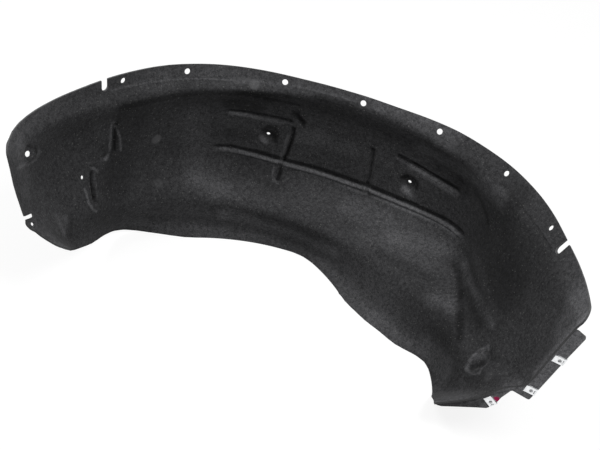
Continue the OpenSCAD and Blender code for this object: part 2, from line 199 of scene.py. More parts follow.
# Painted light and shade on the felt's face, with some wear: (how much lighter, half width,
# run-out, path as above), and a darker stretch, painted shade, is negative
PAINTED_LIGHT_AND_WEAR = [
    # painted light and shade along the creases beside the front foot
    (1.5, 0.8, 2.6, [(-51, 2.82), (-51.4, 3.28), (-52, 3.52), (-53, 3.55)]),
    (0.4, 0.8, 5, [(-53, 3.55), (-57.6, 3.5)]),
    (1.3, 0.4, 2.4, [(-50.5, 2.85), (-49, 3.22), (-48.6, 3.5)]),
    (-0.6, 0.4, 2.4, [(-49.8, 3.06), (-50, 3.46)]),
    (1.2, 0.6, 2.6, [(-57.4, 3.58), (-55.9, 3.68)]),
    (0.5, 0.4, 2.4, [(-57.1, 3.7), (-57.7, 4.3)]),
    (-0.6, 0.6, 2.4, [(-57.6, 3.66), (-58.5, 3.88), (-58.5, 4.34)]),
    (1.5, 0.5, 2.6, [(-61.2, 3.9), (-61, 4.25), (-59.9, 4.6), (-58.4, 4.8)]),
    # painted light and shade of the hollow in the rear foot
    (1, 0.5, 2.5, [(70.7, 5.1), (73.3, 5.16), (75.7, 5.05), (73.2, 4.49), (70.9, 4.05),
        (68.7, 3.93), (67.7, 4.2), (68.6, 4.66), (70.7, 5.1)]),
    (0.7, 2.5, 6, [(69.2, 4.45), (69.5, 4.1)]),
    (-0.5, 2.5, 6, [(71.2, 4.9), (71.1, 4.45)]),
    # painted light and shade on the facet and the shoulder above the rear foot
    (-0.5, 1.5, 7, [(38.4, 4.22), (46.9, 4.1), (54.8, 4.35), (60.4, 4.7)]),
    (0.7, 2, 8, [(40.2, 3.98), (47, 3.82), (55.5, 3.7), (64.5, 3.72)]),
    (-0.35, 2, 8, [(48, 4), (52.2, 3.92), (61.3, 3.9)]),
    (0.7, 4, 14, [(44, 4.9), (47.2, 4.56), (50, 4.5)]),
    # painted light and shade on the wall below the long groove and on the front foot's edge
    (0.5, 5, 20, [(22, 4.5), (33, 4.25)]),
    (0.5, 3, 26, [(-30, 4.5), (-25.2, 4.7)]),
    (0.25, 3, 18, [(-25.2, 4.72), (-12, 4.95)]),
    (-0.25, 4, 18, [(-19, 4.15), (-10, 4.3)]),
    (0.3, 4, 30, [(16.6, 4.7), (34, 4.6)]),
    (0.4, 2, 8, [(-72.8, 4.6), (-72.8, 5.6)]),
    (-0.3, 0.5, 5, [(-66.9, 4.67), (-69.2, 5.73)]),
    # a lighter line along the lip's bead, and painted shade along the fold above the front
    # dimple
    (0.5, 0.3, 1.4, [(-52, 0.93), (-46, 0.95), (-31.4, 0.95), (-22, 1.08)]),
    (0.3, 0.3, 2, [(-22, 1.08), (-9.7, 1.1), (3, 1.05)]),
    (-0.4, 0.5, 3, [(-18.5, 2.37), (-14.6, 2.45), (-9.4, 2.59)]),
    (-0.5, 1.5, 4, [(-10, 3.05), (-8.7, 3.11), (-7, 3.22)]),
    # the long groove, with painted shade along its upper wall and painted light along its lower
    # one
    (-0.7, 0.8, 2.6, [(-25, 3.73), (-17, 3.77), (-10, 3.79), (-4, 3.78), (8, 3.77),
        (18, 3.77), (26, 3.76), (35, 3.75)]),
    (1.2, 0.5, 2.2, [(-24, 3.81), (-17, 3.86), (-10, 3.88), (-4, 3.87), (8, 3.86),
        (18, 3.86), (26, 3.85), (34, 3.84)]),
    (0.7, 0.5, 3, [(-24.9, 3.77), (-24.9, 3.84)]),
    (0.9, 0.4, 1.8, [(4, 3.95), (10.8, 3.95), (19, 3.94), (26.5, 3.92), (33, 3.91)]),
    # painted light and shade on the cross groove and the pocket below it
    (-0.7, 0.8, 3, [(-8.7, 3.36), (-9, 3.52), (-9.3, 3.66), (-9.7, 3.83)]),
    (0.8, 0.6, 3, [(-10, 3.42), (-10.2, 3.59), (-10.5, 3.8)]),
    (-0.7, 0.8, 3.5, [(-10, 3.96), (-10, 4.07), (-10.4, 4.2)]),
    (0.9, 0.6, 3, [(-11.6, 3.98), (-11.7, 4.14), (-11.1, 4.26), (-10.3, 4.28)]),
    # painted light and shade on the crown dimples
    (-0.6, 1.5, 4, [(-15.6, 3.4), (-14.7, 3.34), (-13.3, 3.35), (-12.4, 3.43), (-12.5, 3.54)]),
    (0.8, 1.5, 4, [(-15.6, 3.56), (-14.6, 3.61)]),
    (-0.6, 1.5, 4, [(17, 3.46), (18, 3.38), (19.4, 3.38), (20.5, 3.43), (20.7, 3.51)]),
    (1.1, 2.5, 5, [(18.2, 3.63), (20, 3.67)]),
    # painted light and shade on the upper grooves
    (0.9, 0.6, 2.8, [(-23.3, 3.17), (-20, 3.2), (-17, 3.23), (-12, 3.25)]),
    (1, 2.5, 4, [(18.3, 3.24), (21, 3.25), (24, 3.27), (27.2, 3.27), (29.5, 3.25)]),
    (-0.6, 0.8, 3, [(18.4, 3.16), (22.5, 3.18), (26.5, 3.2), (29.9, 3.19)]),
    # painted light and shade on the front foot
    (1, 0.8, 3, [(-71, 2.8), (-71.4, 2.93), (-72.6, 3), (-76.2, 2.9), (-82.7, 2.3)]),
    (-0.6, 0.6, 3, [(-75.4, 2.28), (-72.6, 2.62), (-72.2, 2.85), (-74, 2.9)]),
    (0.4, 4, 9, [(-69.8, 4.8), (-71.5, 5.2)]),
    (0.4, 6, 16, [(-80, 1.6), (-80, 2.4)]),
    (0.3, 8, 25, [(-80, 2.2), (-80, 3.2)]),
    (-0.3, 5, 20, [(-80, 6.2), (-68, 6.2)]),
    # broad stretches of painted light and shade
    (1.2, 1, 12, [(85.4, 0.5), (85.4, 3.2), (85.4, 3.7)]),
    (0.7, 12, 24, [(80, 1.2), (84, 1.7), (83, 2.5)]),
    (0.3, 6, 26, [(-31, 3.2), (-29, 4.3)]),
    (0.9, 2, 18, [(-22, 5.5), (-8, 5.65), (3, 5.7), (8, 5.6)]),
    (0.4, 3, 14, [(-47, 6.1), (-42, 6.1)]),
    (0.25, 8, 16, [(-54, 2.2), (-53, 3)]),
    (0.4, 5, 18, [(-46, 5.4), (-24, 5.5)]),
    (0.9, 4, 16, [(20, 2.6), (27, 2.5), (35, 2.3), (43, 2.05)]),
    (0.35, 6, 14, [(-7, 3.35), (4, 3.35)]),
    (0.3, 8, 20, [(8, 4.3), (16, 4.3)]),
    (0.1, 3, 6, [(-46, 0.5), (-20, 0.55), (12, 0.5)]),
    (0.2, 1.5, 4, [(-24, 0.98), (-8, 1.02), (10, 1)]),
    (-0.3, 12, 20, [(30, 0.7), (46, 0.9)]),
    (-0.45, 6, 10, [(-24, 2.85), (-18, 3)]),
    (-0.25, 4, 12, [(-22.5, 3.5), (-18.5, 3.55)]),
    (0.8, 8, 22, [(52, 5.9), (62, 5.7)]),
    (0.35, 4, 20, [(30, 6.4), (48, 6.3)]),
    (-0.4, 1.5, 7, [(-6, 1.75), (0, 1.65), (10, 1.6), (22, 1.9)]),
    (-0.4, 3, 5, [(-50, 2.17), (-40, 2.14), (-30, 2.04), (-22, 2.12), (-12, 2.1)]),
    (-0.3, 3, 16, [(-22, 2.2), (-16, 2.5)]),
    (-0.25, 10, 40, [(-47, 2.6), (-50, 4)]),
    (-0.3, 15, 50, [(46, 3), (58, 3.2)]),
    (-0.3, 1.5, 12, [(22, 4.95), (30, 4.85), (38, 4.7)]),
    (-0.35, 5, 20, [(76, 5.4), (84, 5.4)]),
    (-0.25, 8, 20, [(74, 4.3), (80, 4.2)]),
    (-0.5, 1, 5, [(34, 2.75), (42, 3)]),
]
# Dimples with a flat seat: (angle, guide position, share of the dimple depth, seat radius,
# run-out, hole diameter, direction out of a seat that is tilted from the sheet)
DIMPLES = [
    (-14.35, 3.5, 1, 6, 7, 5.6, None),
    (18.7, 3.51, 1, 7, 8, 5.6, None),
    (-76.4, 2.47, 0, 8, 8, 8, (-0.69, 0.55, -0.47)),
    (-84.4, 4.31, 0, 5, 7, 4.6, (-0.59, 0.36, -0.73)),
]

# Fixing holes
LIP_HOLE_ANGLES = (-48.7, -34.2, -13.3, 4.6, 22.5, 40.2, 58.2)
LIP_HOLE_INSET = 9.5
SIDE_HOLE = (-60.8, 3.68, 5.6)
# open slots in the lip: (angle, width, depth)
LIP_SLOTS = [(-53.3, 11, 16), (64.5, 11, 18)]
# slit over the small front tab: its mouth, its end and where it is square to the sheet
SLIT_WIDTH = 5
SLIT_MOUTH = (-FOOT_ANGLE, 3.78)
SLIT_END = (-81.7, 4.02)
SLIT_SQUARE = (-83, 3.9)
# the sheet's free corners, rounded: (angle, guide position, radius)
CORNERS = [(-FOOT_ANGLE, 0, 12), (FOOT_ANGLE, 0, 16), (-FOOT_ANGLE, 7, 24)]
# how far the cutters reach past the sheet and past its free edges
CUT_REACH = 20
CUT_MARGIN = 5
BORE_LENGTH = 44
ROUND_SEGMENTS = 32

# Rear foot: the guide positions at which its edge meets the tabs, and the rest of the tabs'
# outline, seen along Y: (x, distance behind the lip)
FOOT_LINE = (2.2, 2.6, 3, 3.5, 3.8, 4, 4.3, 4.7, 5, 5.3, 5.7, 6, 6.3, 6.8)
TAB_OUTLINE = [
    (230, 213), (234, 216), (240, 216), (257, 210), (283, 201), (296, 197), (304, 188),
    (309, 172), (318, 155), (343, 163), (350, 140), (367, 81), (380, 39), (366, 31),
]
# the tabs' outer corners, from this x on, and their radius
TAB_ROUND_FROM = 316
TAB_ROUND = 2.5
# how far the tabs' faces lie inside the sheet's, so that the two join cleanly
TAB_INSET = 0.05
# notches: from this far inside each clip nut's screw hole out past the tab's edge
NOTCH_START = 6
NOTCH_CUT = (60, 30, 13)
# painted light on the tabs' felt: how much lighter, as in the table of painted light and wear,
# and from which x on
TAB_PAINTED_LIGHT = 2.4
TAB_PAINTED_LIGHT_FROM = 290
# (x, distance behind the lip, turn) of each clip nut's screw hole
CLIP_SPOTS = [(360, 85, -13), (341, 146, -13), (298, 184, -44)]

# Folded clip nut, about the middle of the tab's thickness
CLIP_MIDDLE = FOOT_H + 1.5
CLIP_WIDTH = 11
CLIP_LENGTH = 16
CLIP_SHEET = 0.8
CLIP_GAP = 3.2
CLIP_TOP = CLIP_GAP / 2 + CLIP_SHEET / 2
CLIP_ROUND = 0.18
BEND_STEPS = 10
# its flared mouth: (along the leaf from its end, outwards)
CLIP_MOUTH = [(-0.8, 0.9), (0.2, 0.15), (1.4, 0)]
# its screw hole, wider in the plain leaf, and the collar round it: how much wider than the
# hole at its foot and top, and its height
SCREW_HOLE = 4.2
PLAIN_HOLE = 5.2
COLLAR = (1.5, 0.9, 2.2)
# thread rings in the collar: depth, width and heights over the leaf
THREAD_DEPTH = 0.35
THREAD_WIDTH = 0.3
THREAD_HEIGHTS = (0.4, 1.2, 2)
# slot in its fold: (length, width, height), and how far it is from the screw hole
FOLD_SLOT = (1.3, 5.5, 12)
FOLD_SLOT_AT = 4.6

# Painted light and shade: how light the felt is painted across the sheet, by guide position, and
# along it, by angle
PAINTED_LIGHT_ACROSS = [
    (0, 1.3), (0.9, 1.15), (1.6, 0.9), (3, 0.78), (4.4, 0.95), (5.1, 0.88), (6.2, 1.2), (7, 1.2),
]
PAINTED_LIGHT_ALONG = [
    (-84, 1.25), (-70, 1), (-56, 0.82), (-44, 0.85), (-28, 0.95), (0, 1), (20, 1.15), (34, 1),
    (52, 0.75), (62, 0.78), (72, 1), (84, 1.35),
]
# Pale rubbed spots on the felt: (angle, guide position, radius, how light)
PALE_SPOTS = [
    (-39.4, 3.5, 8, 0.9), (-38.9, 4.5, 7, 0.4), (-19.8, 1.2, 8, 0.9), (78.6, 5, 8, 0.4),
]
# how strongly those spots take the rubbed colour
SPOT_STRENGTH = 0.35
# dab of paint on the tab beside the inner clip nut: (x, distance behind the lip), radius
PAINT_DAB = ((304, 177), 5)

# Noise in the finishes: (cycles to the metre, detail, roughness, distortion)
FIBRES = (700, 6, 0.72, 0.8)
CLUMPS = (210, 5, 0.65, 0.5)
PATCHES = (16, 4, 0.6, 0)
CUT_FIBRES = (900, 5, 0.7, 0)
ROLLING_MARKS = (900, 4, 0.6, 0)
BLOOM = (160, 3, 0.5, 0)
# cells to the metre, a few of which show a pale fibre end
FIBRE_ENDS = 330
# Relief in the finishes: (strength, height in metres)
CLUMP_RELIEF = (0.25, 0.0012)
FIBRE_RELIEF = (0.45, 0.0006)
CUT_RELIEF = (0.8, 0.0006)
MARK_RELIEF = (0.15, 0.0001)
# share of fibres and of clumps in the matted felt
MATTED = (0.6, 0.4)
# The range of a noise that counts, and the range that it becomes, 0 to 1 if none is given
MATTED_RANGE = (0.36, 0.66)
PATCH_RANGE = (0.3, 0.7, 0.9, 1.1)
RARE_RANGE = (0.76, 0.97)
SPECK_RANGE = (0.12, 0.34, 0.42, 0)
CUT_RANGE = (0.4, 0.65)
BLOOM_RANGE = (0.35, 0.65)
MARK_RANGE = (0.3, 0.7, 0.3, 0.48)
# where a ragged spot starts to fade and ends, over its radius
SPOT_FADE = (1.15, 1.7)
# the darkest that the painted shade and wear can make the felt, over its plain tone
DARKEST_PAINTED_SHADE = 0.3
MATT = {"Roughness": 1, "Specular IOR Level": 0.08}
SHEEN = {"Sheen Weight": 0.03, "Sheen Roughness": 0.5}
ZINC_DULL = 0.86

# Stage
TABLE_RADIUS = 9000
SOFTBOX_SIZE = 0.8
SOFTBOX_DISTANCE = 2.2
SOFTBOX_RIGHT = (0.35, -0.35, 0.87)
SOFTBOX_LEFT = (-0.45, -0.1, 0.87)


def lookup(table, angle, column):
    """Value of one column of a guide table at an angle, straight between its stations."""
    if angle <= table[0][0]:
        return table[0][column]
    for low, high in zip(table, table[1:]):
        if angle <= high[0]:
            share = (angle - low[0]) / (high[0] - low[0])
            return low[column] + share * (high[column] - low[column])
    return table[-1][column]


def eased(table, angle, column):
    """The guide's value with its corners eased over a few degrees each way."""
    steps = (-GUIDE_EASE, 0, GUIDE_EASE)
    before, here, after = (lookup(table, angle + step, column) for step in steps)
    return (before + 2 * here + after) / 4


def section(angle):
    """Radius and distance behind the lip at each guide curve, at one angle."""
    return [Vector((ARCH_R + eased(g, angle, 2), eased(g, angle, 1))) for g in GUIDES]


def along(points, u):
    """The point at guide position u of a section, rounded at each inner guide curve."""
    near = min(max(round(u), 0), LAST_GUIDE)
    offset = (u - near) / GUIDE_ROUND
    if near in (0, LAST_GUIDE) or abs(offset) >= 1:
        first = min(int(u), LAST_GUIDE - 1)
        return points[first].lerp(points[first + 1], u - first)
    share = (offset + 1) / 2
    low = points[near].lerp(points[near - 1], GUIDE_ROUND)
    high = points[near].lerp(points[near + 1], GUIDE_ROUND)
    return low.lerp(points[near], share).lerp(points[near].lerp(high, share), share)


FOOT_SECTIONS = {-1: section(-FOOT_ANGLE), 1: section(FOOT_ANGLE)}


def skin(angle, u, points=None):
    """A point of the plain sheet's wheel side, before the grooves, in millimetres."""
    radius, behind = along(points or section(angle), u)
    if abs(angle) > LEAN_FROM:
        side = 1 if angle > 0 else -1
        at_foot = along(FOOT_SECTIONS[side], u)[0]
        turn = math.degrees(math.acos(FOOT_H / at_foot)) - FOOT_ANGLE
        angle += side * turn * (abs(angle) - LEAN_FROM) / (FOOT_ANGLE - LEAN_FROM)
    a = math.radians(angle)
    return Vector((radius * math.sin(a), radius * math.cos(a), DEPTH - behind))


def outward(angle, u):
    """Unit vector out of the sheet towards the car's body."""
    round_arch = skin(angle + SHORT_TURN, u) - skin(angle - SHORT_TURN, u)
    further_in = skin(angle, min(u + SHORT_STEP, LAST_GUIDE))
    inward = further_in - skin(angle, max(u - SHORT_STEP, 0))
    return round_arch.cross(inward).normalized()


def fade(distance, flat, run):
    """1 within flat of a line, easing to 0 over run."""
    share = min(max((distance - flat) / run, 0), 1)
    return 1 - share * share * (3 - 2 * share)


def line_distance(point, line):
    """Shortest distance from a point to a line of straight stretches."""
    best = math.inf
    for start, end in zip(line, line[1:]):
        stretch = end - start
        share = min(max((point - start).dot(stretch) / stretch.length_squared, 0), 1)
        best = min(best, (point - start - share * stretch).length)
    return best


def followed(path):
    """The path with points close enough for its line to keep to the arch."""
    found = [path[0]]
    for (angle, u), (next_angle, next_u) in zip(path, path[1:]):
        count = max(math.ceil(abs(next_angle - angle) / LINE_STEP), 1)
        for i in range(1, count + 1):
            share = i / count
            found.append((angle + share * (next_angle - angle), u + share * (next_u - u)))
    return found


def relief_lines(table, depth):
    """Each line of relief as its depth, widths, line in space and the box it can reach."""
    found = []
    for share, flat, run, path in table:
        line = [skin(a, u) for a, u in followed(path)]
        reach = flat + run
        low = Vector(min(p[i] for p in line) - reach for i in range(3))
        high = Vector(max(p[i] for p in line) + reach for i in range(3))
        found.append((share * depth, flat, run, line, low, high))
    return found


def depths_at(point, lines):
    """The depth that each line of relief near a point gives it."""
    return [depth * fade(line_distance(point, line), flat, run)
            for depth, flat, run, line, low, high in lines
            if all(low[i] < point[i] < high[i] for i in range(3))]


def pressed(point, normal, grooves, fine_lines, seats):
    """How far a point of the plain sheet is pressed towards the body."""
    cut = max(depths_at(point, grooves), default=0) + sum(depths_at(point, fine_lines))
    for centre, axis, depth, flat, run in seats:
        share = fade((point - centre).length, flat, run)
        if share > 0:
            level = (depth - (point - centre).dot(axis)) / normal.dot(axis)
            cut = cut * (1 - share) + share * level
    return cut


def spaced(stretches):
    """Positions that follow the stated spacing of each stretch."""
    found = [stretches[0][0]]
    for first, last, step in stretches:
        count = max(round((last - first) / step), 1)
        found += [first + (last - first) * (i + 1) / count for i in range(count)]
    return found


def new_piece(name, bm, materials):
    """Turns a bmesh in millimetres about the wheel's axis into an object in the frame."""
    bmesh.ops.translate(bm, vec=TO_BASE, verts=bm.verts)
    bmesh.ops.transform(bm, matrix=Matrix.Scale(MM, 4), verts=bm.verts)
    mesh = bpy.data.meshes.new(name)
    bm.to_mesh(mesh)
    bm.free()
    piece = bpy.data.objects.new(name, mesh)
    bpy.context.scene.collection.objects.link(piece)
    for material in materials:
        mesh.materials.append(material)
    return piece


def combine(piece, other, operation):
    """Applies a Boolean of another object to a piece and removes that object."""
    modifier = piece.modifiers.new(operation.lower(), "BOOLEAN")
    modifier.operation = operation
    modifier.solver = "EXACT"
    modifier.object = other
    graph = bpy.context.evaluated_depsgraph_get()
    made = bpy.data.meshes.new_from_object(piece.evaluated_get(graph), depsgraph=graph)
    piece.modifiers.clear()
    piece.data = made
    bpy.data.objects.remove(other)


def cut(piece, cutter_bm, finishes):
    """Cuts the shape of a bmesh out of a piece."""
    combine(piece, new_piece("cutter", cutter_bm, finishes), "DIFFERENCE")


def finished(piece, sharp_angle, node):
    """Shades a piece and puts it in the place of its CAD node."""
    for polygon in piece.data.polygons:
        polygon.use_smooth = True
    piece.data.set_sharp_from_angle(angle=math.radians(sharp_angle))
    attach(piece, "root")
    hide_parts(node)


def seat_axis(angle, u, axis):
    """The direction out of a dimple's seat: its own, or square to the sheet."""
    return Vector(axis).normalized() if axis else outward(angle, u)


def uneven(point, sizes):
    """Height of the felt's slight waves at a point."""
    broad = noise.noise(point / sizes.wave_length)
    small = noise.noise(point / sizes.lump_length + LUMP_SHIFT)
    return sizes.wave_height * broad + sizes.lump_height * small


def extruded(bm, faces):
    """Makes a closed solid of open faces and gives the vertices of its new side."""
    made = bmesh.ops.extrude_face_region(bm, geom=faces, use_keep_orig=True)["geom"]
    return [g for g in made if isinstance(g, bmesh.types.BMVert)]


def add_prism(bm, outline, lift):
    """Adds the solid that an outline sweeps along a vector."""
    face = bm.faces.new([bm.verts.new(point) for point in outline])
    bmesh.ops.translate(bm, vec=lift, verts=extruded(bm, [face]))


def sheet_uv(angle, u):
    """Place on the sheet's map: along it, and across it from the lip."""
    return ((angle / FOOT_ANGLE + 1) / 2, u / LAST_GUIDE)


def sheet_grid(sizes):
    """The felt sheet: a grid laid over the guide curves, grooved and given thickness."""
    rows = spaced(ROW_SPACING)
    columns = spaced(COLUMN_SPACING)
    bm = bmesh.new()
    uv = bm.loops.layers.uv.new("sheet")
    wear = bm.loops.layers.uv.new("wear")
    out = bm.verts.layers.float_vector.new("out")
    bmesh.ops.create_grid(bm, x_segments=len(rows) - 1, y_segments=len(columns) - 1,
                          size=0.5, calc_uvs=True)
    sections = [section(a) for a in rows]
    where = {}
    for v in bm.verts:
        i = round((v.co.x + 0.5) * (len(rows) - 1))
        j = round((v.co.y + 0.5) * (len(columns) - 1))
        where[v] = (rows[i], columns[j])
        v.co = skin(rows[i], columns[j], sections[i])
    bm.normal_update()
    bm.faces.ensure_lookup_table()
    if bm.faces[0].normal.dot(outward(rows[0], columns[0])) < 0:
        bmesh.ops.reverse_faces(bm, faces=bm.faces)
        bm.normal_update()

    grooves = relief_lines(GROOVES, sizes.groove_depth)
    fine_lines = relief_lines(FINE_RELIEF, 1)
    seats = [(skin(a, u), seat_axis(a, u, axis), share * sizes.dimple_depth, flat, run)
             for a, u, share, flat, run, _, axis in DIMPLES]
    painted_shade_and_wear_lines = relief_lines(PAINTED_LIGHT_AND_WEAR, 1)
    painted_tone_and_wear = {}
    moves = {}
    for v, (angle, u) in where.items():
        direction = v.normal.copy()
        if abs(angle) == FOOT_ANGLE:
            direction = Vector((direction.x, 0, direction.z)).normalized()
        elif u > LAST_GUIDE - EDGE_FLAT:
            level = direction.z * (LAST_GUIDE - u) / EDGE_FLAT
            direction = Vector((direction.x, direction.y, level)).normalized()
        v[out] = direction
        # painted light and shade, with some wear, from the lines of its table
        painted_tone_and_wear[v] = sum(depths_at(v.co, painted_shade_and_wear_lines))
        depth = pressed(v.co, v.normal, grooves, fine_lines, seats)
        settled = min((LAST_GUIDE - u) / EDGE_SETTLE, 1)
        moves[v] = direction * (depth + settled * uneven(v.co, sizes))
    for v, move in moves.items():
        v.co += move
    for face in bm.faces:
        for loop in face.loops:
            angle, u = where[loop.vert]
            loop[uv].uv = sheet_uv(angle, u)
            # the second map carries the painted light and shade
            loop[wear].uv = (painted_tone_and_wear[loop.vert], 0)

    raised = set(extruded(bm, bm.faces[:]))
    for v in raised:
        v.co += v[out] * sizes.felt_thickness
    for face in bm.faces:
        lifted = sum(v in raised for v in face.verts)
        face.material_index = 0 if lifted in (0, len(face.verts)) else 1
    bmesh.ops.recalc_face_normals(bm, faces=bm.faces)
    return bm


def add_cone(bm, foot_radius, top_radius, height, matrix):
    """Adds a closed cone or cylinder about a matrix's own Z."""
    bmesh.ops.create_cone(bm, cap_ends=True, segments=ROUND_SEGMENTS, radius1=foot_radius,
                          radius2=top_radius, depth=height, matrix=matrix)


def add_bore(bm, centre, axis, diameter):
    """Adds a cylinder through the sheet to a bmesh of cutters."""
    turn = Vector((0, 0, 1)).rotation_difference(axis).to_matrix().to_4x4()
    add_cone(bm, diameter / 2, diameter / 2, BORE_LENGTH, Matrix.Translation(centre) @ turn)


def add_box(bm, size, matrix):
    """Adds a box with the given sides to a bmesh."""
    bmesh.ops.create_cube(bm, size=1, matrix=matrix @ Matrix.Diagonal((*size, 1)))


def as_cut_faces(bm):
    """Gives a cutter the finish of a cut edge, so that what it cuts has it."""
    bmesh.ops.recalc_face_normals(bm, faces=bm.faces)
    for face in bm.faces:
        face.material_index = 1
    return bm


def hole_cutters(sizes):
    """A cylinder for every round hole in the sheet."""
    bm = bmesh.new()
    for angle in LIP_HOLE_ANGLES:
        u = LIP_HOLE_INSET / eased(BEAD, angle, 1)
        add_bore(bm, skin(angle, u), outward(angle, u), sizes.lip_hole)
    for angle, u, _, _, _, diameter, axis in DIMPLES:
        add_bore(bm, skin(angle, u), seat_axis(angle, u, axis), diameter)
    angle, u, diameter = SIDE_HOLE
    add_bore(bm, skin(angle, u), outward(angle, u), diameter)
    return as_cut_faces(bm)


def hulled(bm):
    """Turns the cylinders of a bmesh into the one convex cutter round them."""
    bmesh.ops.delete(bm, geom=bm.edges[:], context="EDGES_FACES")
    bmesh.ops.convex_hull(bm, input=bm.verts)
    loose = [v for v in bm.verts if not v.link_faces]
    bmesh.ops.delete(bm, geom=loose, context="VERTS")
    return as_cut_faces(bm)


def slot_cutter(angle, width, depth):
    """An open slot that runs in from the lip's edge to a round end."""
    bm = bmesh.new()
    turn = Matrix.Rotation(-math.radians(angle), 4, "Z")
    for height in (DEPTH - depth + width / 2, DEPTH + CUT_REACH):
        centre = turn @ Vector((0, ARCH_R, height))
        add_bore(bm, centre, turn @ Vector((0, 1, 0)), width)
    return hulled(bm)


def slit_cutter():
    """The narrow slit over the small front tab, open at the foot's edge."""
    bm = bmesh.new()
    axis = outward(*SLIT_SQUARE)
    add_bore(bm, skin(*SLIT_MOUTH) - Vector((0, CUT_REACH / 2, 0)), axis, SLIT_WIDTH)
    add_bore(bm, skin(*SLIT_END), axis, SLIT_WIDTH)
    return hulled(bm)


def corner_cutter(angle, u, radius):
    """What a rounded corner takes away: a kite over the corner, less the corner's round."""
    corner = skin(angle, u)
    out = outward(angle, u)
    side = 1 if angle > 0 else -1
    along_foot = (skin(angle, abs(u - 0.5)) - corner).normalized()
    along_rim = (skin(angle - side, u) - corner).normalized()
    half = along_foot.angle(along_rim) / 2
    way = (along_foot + along_rim).normalized()
    across = out.cross(way)
    place = Matrix.Translation(corner) @ Matrix((way, across, out)).transposed().to_4x4()
    middle = radius / math.sin(half)
    reach = radius / math.tan(half)
    x = reach * math.cos(half) - CUT_MARGIN * math.sin(half)
    y = reach * math.sin(half) + CUT_MARGIN * math.cos(half)

    bm = bmesh.new()
    kite = ((middle, 0), (x, y), (-CUT_REACH, 0), (x, -y))
    add_prism(bm, [place @ Vector((*p, -CUT_REACH)) for p in kite], 2 * CUT_REACH * out)
    cutter = new_piece("corner", as_cut_faces(bm), [])
    round_bm = bmesh.new()
    add_bore(round_bm, place @ Vector((middle, 0, 0)), out, 2 * radius)
    cut(cutter, as_cut_faces(round_bm), [])
    return cutter


def rear_tabs(sizes):
    """The flat tabs turned out from the rear foot's edge."""
    half = sizes.felt_thickness / 2
    outline = []
    for u in FOOT_LINE:
        direction = outward(FOOT_ANGLE, u)
        direction.y = 0
        p = skin(FOOT_ANGLE, u) + half * direction.normalized()
        outline.append((p.x, p.z))
    outline += [(x, DEPTH - y) for x, y in TAB_OUTLINE]
    bm = bmesh.new()
    add_prism(bm, [(x, FOOT_H + TAB_INSET, z) for x, z in outline],
              (0, sizes.felt_thickness - 2 * TAB_INSET, 0))
    for f in bm.faces:
        f.material_index = 0 if abs(f.normal.y) > 0.9 or len(f.verts) > 4 else 1
    bmesh.ops.recalc_face_normals(bm, faces=bm.faces)
    corners = [e for e in bm.edges if abs((e.verts[0].co - e.verts[1].co).y) > 1]
    sharp = [e for e in corners if e.verts[0].co.x > TAB_ROUND_FROM]
    bmesh.ops.bevel(bm, geom=sharp, offset=TAB_ROUND, segments=4, profile=0.5,
                    affect="EDGES", material=-1)
    sheet = bm.loops.layers.uv.new("sheet")
    wear = bm.loops.layers.uv.new("wear")
    for f in bm.faces:
        for loop in f.loops:
            loop[sheet].uv = (1, 0.5)
            # painted light that makes the tabs' outer part lighter
            loop[wear].uv = (TAB_PAINTED_LIGHT if loop.vert.co.x > TAB_PAINTED_LIGHT_FROM else 0, 0)
    return bm


def notch_cutters():
    """The open notches that hold the clip nuts."""
    bm = bmesh.new()
    for x, behind, turn in CLIP_SPOTS:
        place = Matrix.Translation((x, FOOT_H, DEPTH - behind))
        spin = Matrix.Rotation(math.radians(-turn), 4, "Y")
        start = Matrix.Translation((NOTCH_CUT[0] / 2 - NOTCH_START, 0, 0))
        add_box(bm, NOTCH_CUT, place @ spin @ start)
    return as_cut_faces(bm)


def make_felt_shell(sizes, colours):
    """The whole liner as one closed felt piece."""
    finishes = [felt_material(colours), cut_felt_material(colours)]
    tabs = new_piece("rear_tabs", rear_tabs(sizes), finishes)
    cut(tabs, notch_cutters(), finishes)
    shell = new_piece("moulded_felt", sheet_grid(sizes), finishes)
    combine(shell, tabs, "UNION")
    slots = [slot_cutter(*slot) for slot in LIP_SLOTS]
    for cutter_bm in (hole_cutters(sizes), *slots, slit_cutter()):
        cut(shell, cutter_bm, finishes)
    for corner in CORNERS:
        combine(shell, corner_cutter(*corner), "DIFFERENCE")
    finished(shell, FELT_SHARP, SHELL_NODE)


def feed(node, inputs):
    """Gives each named socket of a shader node a value, or another node's output."""
    for key, value in inputs.items():
        if isinstance(value, bpy.types.NodeSocket):
            node.id_data.links.new(value, node.inputs[key])
        else:
            node.inputs[key].default_value = value


def add_node(tree, kind, inputs, **settings):
    """Adds a shader node, sets its options and feeds its sockets."""
    made = tree.nodes.new(kind)
    for key, value in settings.items():
        setattr(made, key, value)
    feed(made, inputs)
    return made


def new_material(name):
    """An empty node material with its Principled shader and output joined."""
    material = bpy.data.materials.new(name)
    material.use_nodes = True
    tree = material.node_tree
    tree.nodes.clear()
    shader = add_node(tree, "ShaderNodeBsdfPrincipled", {})
    add_node(tree, "ShaderNodeOutputMaterial", {"Surface": shader.outputs["BSDF"]})
    return material, tree, shader


def object_place(tree):
    """A point's place in the object."""
    return add_node(tree, "ShaderNodeTexCoord", {}).outputs["Object"]


def grey(value):
    """A neutral colour with full alpha."""
    return (value, value, value, 1)


def noise_node(tree, place, scale, detail, roughness, distortion):
    """Fine noise at a scale in cycles to the metre."""
    return add_node(tree, "ShaderNodeTexNoise", {
        "Vector": place, "Scale": scale, "Detail": detail, "Roughness": roughness,
        "Distortion": distortion}).outputs["Fac"]


def ranged(tree, value, low, high, to_low=0, to_high=1):
    """A value eased from one range to another."""
    return add_node(tree, "ShaderNodeMapRange", {
        "Value": value, "From Min": low, "From Max": high, "To Min": to_low,
        "To Max": to_high}, interpolation_type="SMOOTHSTEP").outputs["Result"]


